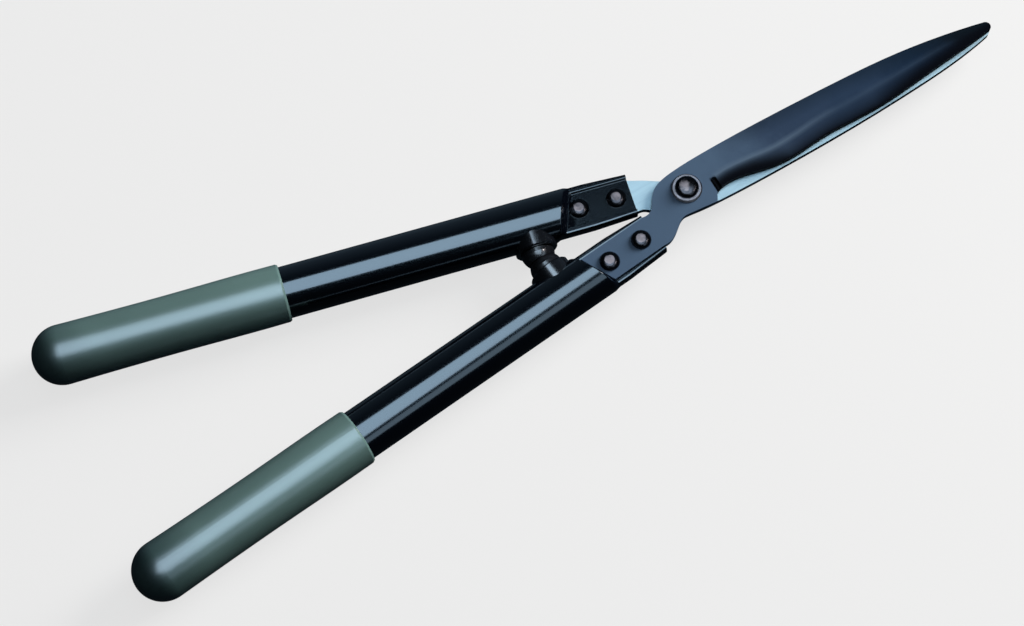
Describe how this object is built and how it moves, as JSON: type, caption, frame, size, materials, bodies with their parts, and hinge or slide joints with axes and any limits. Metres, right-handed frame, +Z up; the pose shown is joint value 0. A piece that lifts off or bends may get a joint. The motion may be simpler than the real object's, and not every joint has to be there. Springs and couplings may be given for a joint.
{
  "type": "hedge shears",
  "caption": "Two-handed hedge shears: long wavy-edged blades on a bolted pivot, riveted to tubular handles with moulded grips, shown closed on their rubber stops.",
  "frame": {"origin": "on the pivot axis, at the bolt's flat end, which lies on the surface that the closed shears rest on", "axes": "+X from the pivot to the blades' tips, +Z up along the pivot axis, +Y towards the front blade's spine"},
  "size_m": [0.5926, 0.173, 0.0344],
  "materials": {
    "blade_coating": "satin dark coating",
    "blade_steel": "ground",
    "dark_steel": "satin blackened",
    "collar_steel": "satin blackened, worn rim",
    "plated_steel": "zinc plated",
    "spring_steel": "oiled",
    "nylon": "smooth",
    "tube_paint": "gloss",
    "grip_plastic": "semi-gloss moulded",
    "plug_plastic": "moulded",
    "saddle_plastic": "satin moulded",
    "rubber": "matte"
  },
  "bodies": {
    "front_half": {"front_blade": "blade_coating", "pivot_bolt": "dark_steel", "pivot_ring": "collar_steel", "pivot_thrust_washer": "plated_steel", "pivot_disc_spring": "spring_steel", "pivot_nut": "plated_steel", "pivot_nut_ring": "nylon", "front_tube": "tube_paint", "front_grip": "grip_plastic", "front_tube_plug": "plug_plastic", "front_rivet_fore": "dark_steel", "front_rivet_aft": "dark_steel", "front_buffer_saddle": "saddle_plastic", "front_buffer": "rubber", "front_buffer_sleeve": "plated_steel", "front_buffer_screw": "plated_steel"},
    "rear_half": {"rear_blade": "blade_steel", "rear_tube": "tube_paint", "rear_grip": "grip_plastic", "rear_tube_plug": "plug_plastic", "rear_rivet_fore": "dark_steel", "rear_rivet_aft": "dark_steel", "rear_buffer_saddle": "saddle_plastic", "rear_buffer": "rubber", "rear_buffer_sleeve": "plated_steel", "rear_buffer_screw": "plated_steel"}
  },
  "joints": [
    {"name": "pivot", "type": "hinge", "parent": "front_half", "child": "rear_half", "pos_m": [0, 0, 0.0172], "axis": [0, 0, -1], "range_deg": [0, 75]}
  ]
}
